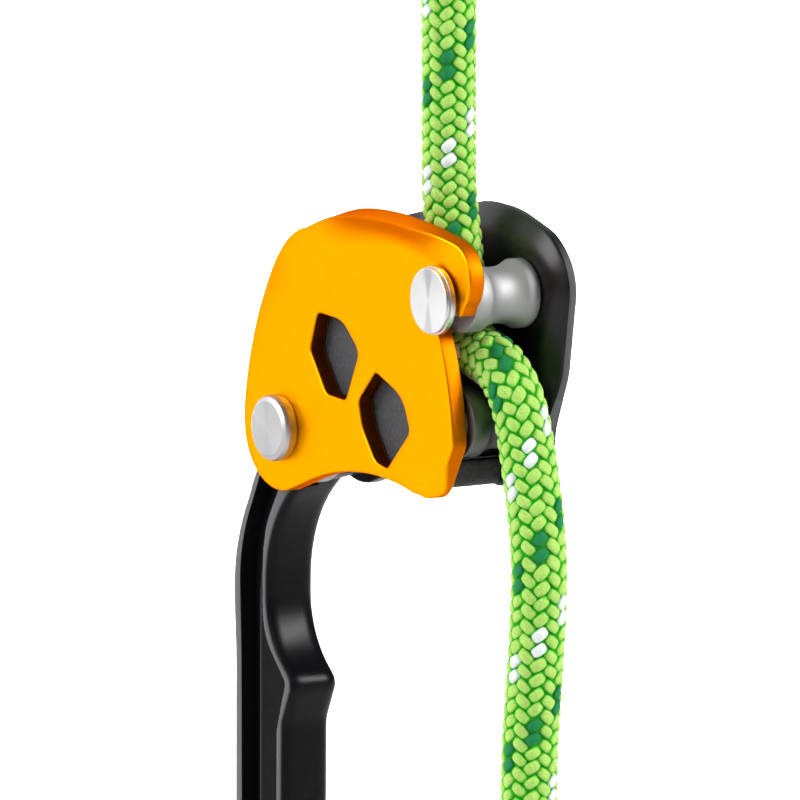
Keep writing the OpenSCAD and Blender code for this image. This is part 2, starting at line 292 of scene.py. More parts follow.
# Painted shade: a darker copy of the stainless for the lower bollard, which sits in shade
# between the plates.
SHADED_STEEL = metal("stainless_painted_shade", (0.11, 0.11, 0.11), (0.17, 0.17, 0.17), 0.45, 1.0,
               4000, 0.1)
STEEL = turned_steel("stainless_turned", 0.62, 0.0, 0.25, 0.38)
FACED = turned_steel("stainless_faced", 0.32, 0.34, shade=0.66)
DOMED = turned_steel("stainless_domed", 0.40, 0.08, shade=0.47)
WASHER = metal("washer_steel", (0.5, 0.5, 0.5), (0.62, 0.62, 0.61), 0.35, 1.0, 4000, 0.1)
SPACER = metal("spacer_alloy", (0.30, 0.30, 0.31), (0.38, 0.38, 0.39), 0.45, 0.9, 4000, 0.1)
BRONZE = metal("bronze_bush", (0.40, 0.24, 0.09), (0.55, 0.36, 0.15), 0.38, 1.0, 3500, 0.15)
SCREW = metal("black_screw", (0.02, 0.02, 0.022), (0.035, 0.035, 0.038), 0.42, 0.6,
              4000, 0.2)
SHRINK = metal("shrink_sleeve", (0.012, 0.012, 0.013), (0.022, 0.022, 0.024), 0.5, 0.0,
               900, 0.5)
# Each yarn's first colour is its crown with painted sheen, its second the painted shade at its
# edges.
LIME = yarn("yarn_lime", (0.54, 0.72, 0.15), (0.06, 0.55, 0.010), crown_glint=(0.86, 0.76, 0.36))
WHITE = yarn("yarn_white", (0.88, 0.89, 0.90), (0.66, 0.75, 0.70))
GREEN = yarn("yarn_green", (0.001, 0.27, 0.075), (0.0005, 0.15, 0.03))
CORE = yarn("yarn_between", (0.02, 0.45, 0.008), (0.008, 0.30, 0.004), 0.8)


# ---------------------------------------------------------------- mesh helpers

def add_mesh(name, points, faces, materials, smooth_angle=35.0, face_materials=None):
    """A mesh object from millimetre points, smooth except at sharp edges."""
    mesh = bpy.data.meshes.new(name)
    mesh.from_pydata([tuple(p) for p in np.asarray(points, float) * MM], [],
                     [tuple(int(i) for i in f) for f in faces])
    for material in materials:
        mesh.materials.append(material)
    if face_materials is not None:
        mesh.polygons.foreach_set("material_index", face_materials)
    mesh.validate()
    mesh.shade_smooth()
    if smooth_angle:
        mesh.set_sharp_from_angle(angle=math.radians(smooth_angle))
    mesh.update()
    thing = bpy.data.objects.new(name, mesh)
    bpy.context.scene.collection.objects.link(thing)
    return thing


def finish_piece(thing, body, slot, *nodes):
    """Rides on a body and stands for CAD nodes. slot is not used."""
    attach(thing, body)
    if nodes:
        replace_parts(thing, *nodes)
    return thing


def places(thing):
    """The vertices of a piece in millimetres."""
    return np.array([v.co for v in thing.data.vertices]) / MM


def paint(thing, name, values):
    """Gives every vertex a value that the materials can read."""
    level = thing.data.attributes.new(name, "FLOAT", "POINT")
    level.data.foreach_set("value", values.astype(np.float32))


def arc(centre, radius, start, stop, count=16):
    """Points of an arc in degrees, both ends included."""
    angles = np.radians(np.linspace(start, stop, count + 1))
    return np.array(centre) + radius * np.column_stack([np.cos(angles), np.sin(angles)])


def unit(v):
    return v / np.linalg.norm(v)


def fillet(a, b, c, radius, count=10):
    """Points that round the corner b between a and c."""
    a, b, c = (np.array(p, float) for p in (a, b, c))
    if radius == 0:
        return b[None]
    u, v = unit(a - b), unit(c - b)
    half = math.acos(float(u @ v)) / 2
    centre = b + unit(u + v) * radius / math.sin(half)
    start = b + u * radius / math.tan(half) - centre
    stop = b + v * radius / math.tan(half) - centre
    first = math.degrees(math.atan2(start[1], start[0]))
    turn = math.degrees(math.atan2(start[0] * stop[1] - start[1] * stop[0],
                                   float(start @ stop)))
    return arc(centre, radius, first, first + turn, count)


def rounded(corners):
    """A closed outline from corners (x, z, radius)."""
    count = len(corners)
    return np.vstack([fillet(corners[i - 1][:2], corners[i][:2],
                             corners[(i + 1) % count][:2], corners[i][2])
                      for i in range(count)])


def resample(loop, step):
    """A closed loop with even spacing, always counter-clockwise."""
    loop = np.asarray(loop, float)
    keep = np.linalg.norm(loop - np.roll(loop, 1, 0), axis=1) > 1e-4
    loop = loop[keep]
    x, z = loop.T
    if np.sum(x * np.roll(z, -1) - np.roll(x, -1) * z) < 0:
        loop = loop[::-1]
    closed = np.vstack([loop, loop[:1]])
    along = np.r_[0, np.cumsum(np.linalg.norm(np.diff(closed, axis=0), axis=1))]
    count = max(12, int(round(along[-1] / step)))
    at = np.linspace(0, along[-1], count, endpoint=False)
    return np.column_stack([np.interp(at, along, closed[:, k]) for k in (0, 1)])


def inset(loop, distance):
    """A counter-clockwise loop moved inwards."""
    ahead = np.roll(loop, -1, 0) - loop
    normal = np.column_stack([-ahead[:, 1], ahead[:, 0]])
    normal /= np.linalg.norm(normal, axis=1)[:, None]
    both = normal + np.roll(normal, 1, 0)
    both /= np.linalg.norm(both, axis=1)[:, None]
    return loop + both * distance


def inside(points, loop):
    """True for the points that lie in a closed loop."""
    x, z = points[:, 0][:, None], points[:, 1][:, None]
    x0, z0 = loop[:, 0][None], loop[:, 1][None]
    x1, z1 = np.roll(loop[:, 0], -1)[None], np.roll(loop[:, 1], -1)[None]
    spans = (z0 > z) != (z1 > z)
    with np.errstate(divide="ignore", invalid="ignore"):
        left = x < (x1 - x0) * (z - z0) / (z1 - z0) + x0
    return np.sum(spans & left, axis=1) % 2 == 1


def distance_to(points, loop):
    """Distance from each point to the nearest side of a closed loop."""
    best = np.full(len(points), 1e9)
    ends = np.roll(loop, -1, 0)
    for a, b in zip(loop, ends):
        side = b - a
        t = np.clip((points - a) @ side / (side @ side), 0, 1)
        best = np.minimum(best, np.linalg.norm(points - a - t[:, None] * side, axis=1))
    return best


def edge_drop(distance, radius):
    """How far a rounded edge of that radius falls back at a distance from the rim."""
    d = np.clip(distance, 0, radius)
    return radius - np.sqrt(np.maximum(radius ** 2 - (radius - d) ** 2, 0))


def smooth_step(value):
    t = np.clip(value, 0, 1)
    return t * t * (3 - 2 * t)


def seeds(loop, step, margin, holes=()):
    """Staggered points inside a loop, clear of its rim and of the holes."""
    low, high = loop.min(0), loop.max(0)
    rows = np.arange(low[1], high[1], step * 0.866)
    found = []
    for i, z in enumerate(rows):
        xs = np.arange(low[0] + (i % 2) * step / 2, high[0], step)
        found.append(np.column_stack([xs, np.full(len(xs), z)]))
    points = np.vstack(found)
    keep = inside(points, loop) & (distance_to(points, loop) > margin)
    for hole in holes:
        keep &= ~inside(points, hole) & (distance_to(points, hole) > margin)
    return points[keep]


def triangulate(outer, holes, lines, loose):
    """Flat points, counter-clockwise triangles inside an outline and outside its holes,
    and the outline and each hole as numbers of points."""
    loops = [outer, *holes, *lines]
    points = np.vstack([*loops, *loose])
    sides, first = [], 0
    for loop in loops:
        count = len(loop)
        sides += [(first + i, first + (i + 1) % count) for i in range(count)]
        first += count
    made = delaunay_2d_cdt([Vector(p) for p in points.tolist()], sides, [], 0, 1e-5)
    flat = np.array([tuple(v) for v in made[0]])
    triangles = np.array([list(f) for f in made[2]])
    new_index = {source: i for i, sources in enumerate(made[3]) for source in sources}
    middle = flat[triangles].mean(1)
    keep = inside(middle, outer)
    for hole in holes:
        keep &= ~inside(middle, hole)
    triangles = triangles[keep]
    a, b, c = (flat[triangles[:, k]] for k in range(3))
    turn = (b - a)[:, 0] * (c - a)[:, 1] - (b - a)[:, 1] * (c - a)[:, 0]
    triangles[turn < 0] = triangles[turn < 0][:, ::-1]
    used = np.unique(triangles)
    slot_of = {int(v): i for i, v in enumerate(used)}
    rims, first = [], 0
    for loop in (outer, *holes):
        rims.append([slot_of[new_index[first + i]] for i in range(len(loop))])
        first += len(loop)
    return flat[used], np.vectorize(slot_of.get)(triangles), rims


def relief(name, outer, holes, lines, loose, front, back, materials, warp=None,
           second=None):
    """A solid from a flat outline with holes. lines are more closed loops that the
    faces follow and loose is a list of free points; front and back give Y at points.
    second tells which faces, by their middles, take the second material; "walls"
    gives it to the walls of the holes, and the third one to the outer wall."""
    flat, triangles, rims = triangulate(outer, holes, lines, loose)
    count = len(flat)
    whole = np.vstack([np.column_stack([flat[:, 0], side(flat), flat[:, 1]])
                       for side in (front, back)])
    faces = [tuple(t) for t in triangles] + [tuple(t[::-1] + count) for t in triangles]
    rim_faces = 0
    for number, ids in enumerate(rims):
        if number:
            ids = ids[::-1]
        for i, here in enumerate(ids):
            after = ids[(i + 1) % len(ids)]
            if here != after:
                faces.append((after, here, here + count, after + count))
        rim_faces = rim_faces or len(faces)
    if warp is not None:
        whole = warp(whole)
    kinds = np.zeros(len(faces), np.int32)
    if second == "walls":
        kinds[2 * len(triangles):rim_faces] = 2
        kinds[rim_faces:] = 1
    elif second is not None:
        chosen = second(flat[triangles].mean(1))
        kinds[:2 * len(triangles)] = np.r_[chosen, chosen]
    return add_mesh(name, whole, faces, materials, face_materials=kinds)


def closed_tube(first, rings, around):
    """Faces of a tube from rings of points, with a cap at each end; its points follow
    each other from index first."""
    faces = []
    for p in range(first, first + (rings - 1) * around, around):
        for k in range(around):
            j = (k + 1) % around
            faces.append((p + k, p + j, p + around + j, p + around + k))
    last = first + (rings - 1) * around
    faces.append(tuple(range(first, first + around))[::-1])
    faces.append(tuple(range(last, last + around)))
    return faces


def lathe(name, centre, profile, material, closed):
    """A turned piece about Y from (radius, y) points; its object sits on its axis."""
    segments = 128
    angles = np.linspace(0, 2 * math.pi, segments, endpoint=False)
    points, faces, rings = [], [], []
    for radius, y in profile:
        if radius == 0:
            rings.append([len(points)])
            points.append((0, y, 0))
        else:
            rings.append(list(range(len(points), len(points) + segments)))
            points += [(radius * math.cos(a), y, radius * math.sin(a)) for a in angles]
    pairs = list(zip(rings, rings[1:]))
    if closed:
        pairs.append((rings[-1], rings[0]))
    for ring, after in pairs:
        for k in range(segments):
            j = (k + 1) % segments
            if len(ring) == 1:
                faces.append((ring[0], after[k], after[j]))
            elif len(after) == 1:
                faces.append((ring[j], ring[k], after[0]))
            else:
                faces.append((ring[j], ring[k], after[k], after[j]))
    thing = add_mesh(name, points, faces, [material], 32)
    thing.location = Vector((centre[0], 0, centre[1])) * MM
    return thing


def rounded_profile(corners):
    """(r, y) corners with radii, rounded for a lathe: [(r, y, radius), ...]."""
    made = [corners[0][:2]]
    for before, here, after in zip(corners, corners[1:], corners[2:]):
        made += [tuple(p) for p in fillet(before[:2], here[:2], after[:2], here[2], 5)]
    made.append(corners[-1][:2])
    return made


# ---------------------------------------------------------------- rope

ROPE_D = 12.5
COLUMNS = 12             # columns of picks round the sheath
PICK_PITCH = 3.27        # along the rope, within one column
PICK_LONG, PICK_WIDE, PICK_HIGH = 4.15, 2.5, 1.2
PICK_MIDDLE = 5.64       # radius at which a pick's middle lies
PICK_DIP = 0.55          # how far its two ends dive under its neighbours
PICK_LEAN = math.radians(38)
WRAP_R = 5.9             # radius at which the picks wrap round the rope
CORE_R = 5.45            # radius of the tube under the picks
TRACER_PERIOD = 12       # picks from one tracer to the same one again
TRACER_ANGLE = math.radians(32.5)   # where column 0 lies, past TWIST_END
ROPE_TWIST = math.radians(0.12)     # turn of the columns per millimetre before it
TWIST_END = 100.0
PATTERN_SHIFT = -2.2     # slides the braid along the rope
SLACK = 0.032            # how much wider and longer the braid is below the plates
SLACK_FROM = 105.0       # length at which that starts
SPAN_POINTS = 12         # points of a smooth path from one of its given points on

# The route's own points in metres, as the CAD has them, in the plane Y = 0. The last
# one of the upper part lies inside the eye's sleeve.
UPPER_ROUTE = [
    (-0.0129, 0.014), (-0.0129, 0.019), (-0.0138, 0.025), (-0.0151, 0.031),
    (-0.0159, 0.038), (-0.016, 0.046), (-0.016, 0.054), (-0.016, 0.062),
    (-0.016, 0.070), (-0.016, 0.078), (-0.016, 0.086), (-0.016, 0.090)]
LOWER_ROUTE = [
    (-0.0129, 0.014), (-0.0129, 0.0106), (-0.0117, 0.0072), (-0.0092, 0.0042),
    (-0.0056, 0.0018), (-0.001, 0.0004), (0.0035, -0.001), (0.0076, -0.0038),
    (0.011, -0.0078), (0.0134, -0.0128), (0.015, -0.018), (0.0166, -0.024),
    (0.0182, -0.031), (0.0194, -0.038), (0.020, -0.045), (0.0198, -0.052),
    (0.0192, -0.060), (0.0183, -0.068), (0.0174, -0.076), (0.0165, -0.084),
    (0.016, -0.094), (0.016, -0.104)]


def smooth_path(points):
    """A Catmull-Rom curve through XZ points, as a dense list."""
    p = np.asarray(points, float)
    p = np.vstack([2 * p[0] - p[1], p, 2 * p[-1] - p[-2]])
    made = []
    for i in range(1, len(p) - 2):
        for t in np.linspace(0, 1, SPAN_POINTS, endpoint=False):
            made.append(0.5 * (2 * p[i] + (p[i + 1] - p[i - 1]) * t
                               + (2 * p[i - 1] - 5 * p[i] + 4 * p[i + 1] - p[i + 2]) * t * t
                               + (3 * p[i] - p[i - 1] - 3 * p[i + 1] + p[i + 2]) * t ** 3))
    made.append(p[-2])
    return np.array(made)


class Line:
    """A centreline in the plane Y = 0 that gives points and directions by length."""

    def __init__(self, points, swell=0.0, swell_from=0.0):
        self.points = np.asarray(points, float)
        self.swell, self.swell_from = swell, swell_from
        gaps = np.linalg.norm(np.diff(self.points, axis=0), axis=1)
        self.along = np.r_[0, np.cumsum(gaps)]
        self.length = float(self.along[-1])
        slope = np.gradient(self.points, self.along, axis=0)
        self.slope = slope / np.linalg.norm(slope, axis=1)[:, None]

    def at(self, s, angle, radius):
        """Points at length s, turned by angle round the rope, radius from its middle."""
        s = np.asarray(s, float)
        if self.swell:
            radius = radius * (1 + self.swell * smooth_step((s - self.swell_from) / 30))
        here, way = (np.column_stack([np.interp(s, self.along, table[:, k]) for k in (0, 1)])
                     for table in (self.points, self.slope))
        beyond = np.minimum(s, 0) + np.maximum(s - self.length, 0)
        here = here + way * beyond[:, None]
        side = np.column_stack([-way[:, 1], way[:, 0]])
        out = np.cos(angle) * radius
        return np.column_stack([here[:, 0] + side[:, 0] * out, np.sin(angle) * radius,
                                here[:, 1] + side[:, 1] * out])


def pick_form():
    """One pick as a pillow: local (along, across, up) from -1 to 1, its UV and faces."""
    rows, columns = 8, 10
    points, uv, faces = [(-1.0, 0.0, 0.0)], [(0.0, 0.5)], []
    for i in range(1, rows):
        t = -math.cos(math.pi * i / rows)
        width = (1 - abs(t) ** 3.4) ** (1 / 3.4)
        for k in range(columns):
            a = 2 * math.pi * k / columns
            across = math.copysign(abs(math.cos(a)) ** 0.7, math.cos(a)) * width
            up = math.copysign(abs(math.sin(a)) ** 0.9, math.sin(a)) * width ** 0.8
            points.append((t, across, up))
            uv.append((t * 0.5 + 0.5, across * 0.5 + 0.5))
    points.append((1.0, 0.0, 0.0))
    uv.append((1.0, 0.5))
    for k in range(columns):
        j = (k + 1) % columns
        faces.append((0, 1 + j, 1 + k))
        last = 1 + (rows - 2) * columns
        faces.append((len(points) - 1, last + k, last + j))
        for i in range(rows - 2):
            p = 1 + i * columns
            faces.append((p + k, p + j, p + columns + j, p + columns + k))
    return np.array(points), np.array(uv), faces


PICK = pick_form()


def tracer_of(column, row):
    """0 for lime, 1 for a white pick, 2 for a dark green one."""
    if column % 2:
        return 0
    phase = (row + column) % TRACER_PERIOD
    return 1 if phase < 2 else 2 if 6 <= phase < 8 else 0


def lay_pick(line, s0, angle0, turn, size):
    """A pick's points at length s0 and an angle round the rope, and their radii."""
    form = PICK[0]
    a = form[:, 0] * PICK_LONG / 2 * size
    b = form[:, 1] * PICK_WIDE / 2 * size
    radius = (PICK_MIDDLE + form[:, 2] * PICK_HIGH / 2
              - PICK_DIP * np.abs(form[:, 0]) ** 2.5)
    s = s0 + a * math.sin(turn) + b * math.cos(turn)
    angle = angle0 + (a * math.cos(turn) - b * math.sin(turn)) / WRAP_R
    return line.at(s, angle, radius), radius


def add_picks(name, line, start, stop, shift):
    """The picks between two lengths: (points, faces, materials, crown, UVs)."""
    rng = random.Random(name)
    points, faces, kinds, crown, uvs = [], [], [], [], []
    form, form_uv, form_faces = PICK
    first = int(math.floor((start - shift) / PICK_PITCH)) - 1
    last = int(math.ceil((stop - shift) / PICK_PITCH)) + 1
    for column in range(COLUMNS):
        lean = PICK_LEAN if column % 2 else -PICK_LEAN
        for row in range(first, last + 1):
            s0 = shift + (row + 0.5 * (column % 2)) * PICK_PITCH
            s0 += line.swell * max(0.0, s0 - line.swell_from)
            if not start <= s0 < stop:
                continue
            turn = lean + rng.uniform(-0.08, 0.08)
            size = rng.uniform(0.94, 1.06)
            s0 += rng.uniform(-0.12, 0.12)
            angle0 = 2 * math.pi * column / COLUMNS + TRACER_ANGLE
            angle0 += rng.uniform(-0.015, 0.015)
            angle0 += ROPE_TWIST * min(0.0, s0 - TWIST_END)
            total = len(points) * len(form)
            laid, radius = lay_pick(line, s0, angle0, turn, size)
            points.append(laid)
            faces += [tuple(i + total for i in f) for f in form_faces]
            kinds += [1 + tracer_of(column, row)] * len(form_faces)
            # The crown value paints sheen on the raised middle of each pick and shade at its
            # sides and where its ends dive under; a random part gives each pick its own tone.
            crown.append(np.clip((radius - 5.55) / 0.6, 0, 1)
                         * (1 - 0.35 * np.abs(form[:, 1]) ** 4) + rng.uniform(-0.12, 0.12))
            uvs.append(form_uv + [row * 0.37 % 7, column * 1.3])
    return points, faces, kinds, crown, uvs


def braid(name, line, start, stop, shift):
    """The braided sheath between two lengths of a line. shift is the length at which
    row 0 of the pattern lies, so that pieces of one rope carry on the same braid."""
    points, faces, kinds, crown, uvs = add_picks(name, line, start, stop, shift)
    around, rings = 36, max(4, int((stop - start) / 1.2)) + 1
    tube = closed_tube(len(points) * len(PICK[0]), rings, around)
    turns = np.linspace(0, 2 * math.pi, around, endpoint=False)
    for s in np.linspace(start, stop, rings):
        points.append(line.at(np.full(around, s), turns, CORE_R))
        crown.append(np.full(around, 0.2))
        uvs.append(np.column_stack([turns * 2, np.full(around, s * 0.3)]))
    thing = add_mesh(name, np.vstack(points), faces + tube, [CORE, LIME, WHITE, GREEN],
                     0, kinds + [0] * len(tube))
    paint(thing, "crown", np.concatenate(crown))
    mesh = thing.data
    corner = np.zeros(len(mesh.loops), np.int32)
    mesh.loops.foreach_get("vertex_index", corner)
    layer = mesh.uv_layers.new(name="UVMap")
    layer.data.foreach_set("uv", np.vstack(uvs)[corner].astype(np.float32).ravel())
    return finish_piece(thing, "head", "rope_sheath")


whole_route = np.array(UPPER_ROUTE[::-1] + LOWER_ROUTE[1:]) / MM
whole_line = Line(smooth_path(whole_route), SLACK, SLACK_FROM)
split_s = float(whole_line.along[(len(UPPER_ROUTE) - 1) * SPAN_POINTS])

rope_upper = braid("rope_upper_sheath", whole_line, 0.0, split_s, PATTERN_SHIFT)
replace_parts(rope_upper, "rope_upper")
rope_lower = braid("rope_lower_sheath", whole_line, split_s, whole_line.length,
                   PATTERN_SHIFT)
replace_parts(rope_lower, "rope_lower")


def add_rope_eye():
    """The spliced eye: the rope leaves the sleeve, turns round and comes back."""
    box_low, box_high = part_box("rope_eye")
    middle = (box_low.x + box_high.x) / 2 / MM
    top = box_high.z / MM - ROPE_D / 2
    foot = box_low.z / MM
    route = [(middle - 5.2, foot - 9), (middle - 6.6, foot - 3),
             (middle - 9.6, foot + 3), (middle - 12.9, foot + 9),
             (middle - 13.9, foot + 16), (middle - 11.6, top - 6),
             (middle - 6.4, top - 1.4), (middle, top)]
    mirrored = [(2 * middle - x, z) for x, z in route[-2::-1]]
    line = Line(smooth_path(route + mirrored))
    eye = braid("rope_eye_sheath", line, 0.0, line.length, 0.0)
    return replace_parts(eye, "rope_eye")


rope_eye = add_rope_eye()


def sleeve(name, node, stations, ripple):
    """A shrunk tube about Z: stations are (z, half width, half depth), low to high."""
    around = 64
    low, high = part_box(node)
    middle = (low.x + high.x) / 2 / MM
    points = []
    for z, wide, deep in stations:
        for k in range(around):
            a = 2 * math.pi * k / around
            bulge = 1 + ripple * math.sin(6 * a + z * 0.9) * math.sin(z * 0.55)
            points.append((middle + wide * bulge * math.cos(a),
                           deep * bulge * math.sin(a), z))
    faces = closed_tube(0, len(stations), around)
    return finish_piece(add_mesh(name, points, faces, [SHRINK], 50), "head",
                        "shrink_sleeve", node)


def add_sleeves():
    """The flared sleeve under the rope's eye, and the plain one on its tail."""
    low, high = (v.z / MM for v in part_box("rope_eye_sleeve"))
    spans = np.linspace(0, 1, 24)
    throat = [(low + 0.02, 6.5, 6.5), (low + 0.05, 6.9, 6.9)]
    throat += [(low + 0.6 + t * (high - low - 1.2),
                7.1 + 4.4 * smooth_step(t), 7.1 + 0.5 * t) for t in spans]
    throat += [(high - 0.2, 11.2, 7.3), (high, 10.6, 6.8)]
    eye_sleeve = sleeve("rope_eye_shrink", "rope_eye_sleeve", throat, 0.012)
    low, high = (v.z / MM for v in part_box("rope_end_sleeve"))
    tail = [(low, 5.2, 5.2), (low + 0.35, 6.1, 6.1), (low + 1.2, 6.65, 6.65)]
    tail += [(low + 1.6 + t * (high - low - 2.4), 6.8 + 0.12 * math.sin(9 * t),
              6.8 + 0.12 * math.sin(9 * t)) for t in spans]
    tail += [(high - 0.3, 6.85, 6.85), (high, 6.5, 6.5)]
    return eye_sleeve, sleeve("rope_end_shrink", "rope_end_sleeve", tail, 0.008)


eye_shrink, end_shrink = add_sleeves()


# ---------------------------------------------------------------- side plates

TOP_CENTRE = np.array([-19.8, -63.85])
TOP_R = 94.5
FINGER_R = 8.25
NOTCH_R = 4.15
FACET_AT = 25.0          # the facet's crease lies where X - Z is this
LIP_LEAN = math.radians(30)
reach = float(np.linalg.norm(UPPER - PIVOT))
pin_angle = math.degrees(math.atan2(*(UPPER - PIVOT)[::-1]))


def polar(centre, radius, degrees):
    a = math.radians(degrees)
    return np.array(centre) + radius * np.array([math.cos(a), math.sin(a)])


lobe_edge = arc(PIVOT - [0.4, 0], 14.3, 175, 282, 40)
lower_edge = arc((-28.5, -98.3), 70, 112, 75.5, 24)
left_edge = np.vstack([arc((-49.7, 5.3), 19.5, 109.5, 145),
                       arc((-3, -27.5), 76.7, 145, 174)])
finger = polar(TOP_CENTRE, TOP_R - FINGER_R, 74.2)
moving_outline = np.vstack([
    lobe_edge,
    lower_edge,
    arc((-5.9, -24.7), 6.4, 250, 330),
    arc(polar(PIVOT, reach - NOTCH_R - 3, 4), 3, -30, 4, 4),
    arc(PIVOT, reach - NOTCH_R, 5, pin_angle - 1),
    arc(UPPER, NOTCH_R, pin_angle + 180, pin_angle, 20),
    arc(PIVOT, reach + NOTCH_R, pin_angle - 1, 25.9, 4),
    arc((7.4, 12.4), 1.4, 215, 320, 6),
    arc(finger, FINGER_R, -48, 73, 24),
    arc(TOP_CENTRE, TOP_R, 74.2, 111.7, 40),
    left_edge,
])
FIXED_TOP = [(6.5, -29.3), (14.2, 19), (6.5, 26.9), (-12, 32.3), (-46, 27)]
fixed_outline = np.vstack([
    lobe_edge,
    lower_edge,
    fillet((-11, -30.5), FIXED_TOP[0], FIXED_TOP[1], 7),
    fillet(FIXED_TOP[0], FIXED_TOP[1], FIXED_TOP[2], 12),
    fillet(FIXED_TOP[1], FIXED_TOP[2], FIXED_TOP[3], 16),
    fillet(FIXED_TOP[2], FIXED_TOP[3], FIXED_TOP[4], 36, 20),
    left_edge,
])
WINDOW_LEFT = [
    (-49.6, 5.6, 2), (-39.5, 4.9, 8), (-32.7, -1.4, 2.5),
    (-38.1, -12.9, 1.6), (-45.9, -12.3, 2.5), (-52.6, -2.9, 2.5)]
WINDOW_RIGHT = [
    (-26.2, -5.1, 1.6), (-15.2, -9.6, 9), (-12.3, -17, 2), (-21.4, -26.2, 1.6),
    (-26.2, -25.2, 4), (-31.4, -18.2, 6), (-33, -12.2, 1.8)]


def rim_lines(loop, radius):
    """Loops beside a rim that carry its rounded edge; a negative radius is outwards."""
    return [inset(loop, radius * share) for share in (0.12, 0.4, 1.0)]


def bend_lip(depth_from, bend_at, radius, lean, side):
    """A function that bends a sheet about a line. depth_from gives for XZ points
    (distance past the line, outward direction, share of the lean)."""
    def warp(points):
        flat = points[:, [0, 2]]
        past, out, share = depth_from(flat)
        angle = lean * share
        past = np.maximum(past, 0)
        with np.errstate(divide="ignore", invalid="ignore"):
            turned = np.minimum(past / radius, angle)
        straight = past - turned * radius
        run = radius * np.sin(turned) + straight * np.cos(turned)
        rise = radius * (1 - np.cos(turned)) + straight * np.sin(turned)
        through = side * (points[:, 1] - bend_at)   # depth below the leaning face
        moved = points.copy()
        slide = run - past - through * np.sin(turned)
        moved[:, 0] += out[:, 0] * slide
        moved[:, 2] += out[:, 1] * slide
        moved[:, 1] = bend_at + side * (rise + through * np.cos(turned))
        return moved
    return warp


def top_lip_share(flat):
    """The swinging plate's lip: bends past an arc about the top edge's centre."""
    away = flat - TOP_CENTRE
    rho = np.linalg.norm(away, axis=1)
    angle = np.degrees(np.arctan2(away[:, 1], away[:, 0]))
    share = smooth_step((angle - 72) / 13) * smooth_step((112 - angle) / 20)
    return rho - (TOP_R - 7.5), away / rho[:, None], share


def lip_seeds(loop):
    """Rows of points that follow the top edge, for a smooth bend."""
    rows = [arc(TOP_CENTRE, TOP_R - d, 69, 117, 110) for d in np.linspace(0.9, 10.5, 12)]
    points = np.vstack(rows)
    return points[inside(points, loop) & (distance_to(points, loop) > 0.75)]


def corner_facet(flat):
    """Depth of the facet that takes off the swinging plate's lower right corner."""
    beyond = (flat[:, 0] - flat[:, 1] - FACET_AT) / math.sqrt(2)
    return 1.1 * np.maximum(0, beyond)


def facet_seeds(loop):
    """Points to both sides of the facet's crease, to keep it crisp."""
    along = np.linspace(-7, 8, 31)
    rows = [np.column_stack([along, along - FACET_AT - shift]) for shift in (-0.12, 0.12)]
    points = np.vstack(rows)
    return points[inside(points, loop) & (distance_to(points, loop) > 0.55)]


def add_moving_plate():
    edge = 0.45
    outer = resample(moving_outline, 0.7)
    bore = resample(arc(PIVOT, PLATE_BUSH_R, 0, 360, 60)[:-1], 0.7)
    windows = [resample(rounded(w), 0.6) for w in (WINDOW_LEFT, WINDOW_RIGHT)]
    holes = [bore, *windows]
    lines = rim_lines(outer, edge)
    for window in windows:
        lines += rim_lines(window, -edge)

    def nearest(flat):
        return np.minimum.reduce([distance_to(flat, loop) for loop in (outer, *windows)])

    def rim(flat):
        return edge_drop(nearest(flat), edge)

    lip = lip_seeds(outer)
    inner = seeds(outer, 2.2, 0.9, holes)
    inner = inner[np.linalg.norm(inner - TOP_CENTRE, axis=1) < TOP_R - 11.2]
    lip = lip[~inside(lip, windows[0])]
    crease = facet_seeds(outer)
    plate = relief(
        "moving_side_plate_body", outer, holes, lines, [inner, lip, crease],
        lambda flat: moving_out + rim(flat) + corner_facet(flat),
        lambda flat: moving_in - rim(flat),
        [GOLD, GOLD_SHADED_WALL, GOLD_EDGE],
        bend_lip(top_lip_share, moving_out, 4.5, LIP_LEAN, -1), "walls")
    points = places(plate)
    depth = points[:, 1]
    depth[len(depth) // 2:] -= moving_in - moving_out
    # Painted shade: the lip that leans forward at the top takes the darker rim colour, and so
    # do the bevels along the outline and the windows, to tame their highlights.
    near = nearest(points[:, [0, 2]])
    painted_lip_shade = smooth_step((moving_out - depth) / 2.2)
    paint(plate, "rim", np.maximum(painted_lip_shade, 0.7 * (1 - smooth_step(near / 0.4))))
    return finish_piece(plate, "side_plate", "gold_anodised", "moving_side_plate")


add_moving_plate()


def fixed_lip_share(outer):
    """The fixed plate's lip leans back along its top and right edges."""
    def measure(flat):
        near = distance_to(flat, outer)
        step = 0.05
        shifted = [distance_to(flat + offset, outer)
                   for offset in (np.array([step, 0]), np.array([0, step]))]
        out = np.column_stack([near - shifted[0], near - shifted[1]]) / step
        size = np.linalg.norm(out, axis=1)
        out = out / np.maximum(size, 1e-6)[:, None]
        x, z = flat.T
        share = smooth_step((x + 56) / 14) * smooth_step((z + 17) / 15)
        share = np.where(x < -10, share * smooth_step((z - 8) / 8), share)
        return 5.2 - near, out, share
    return measure


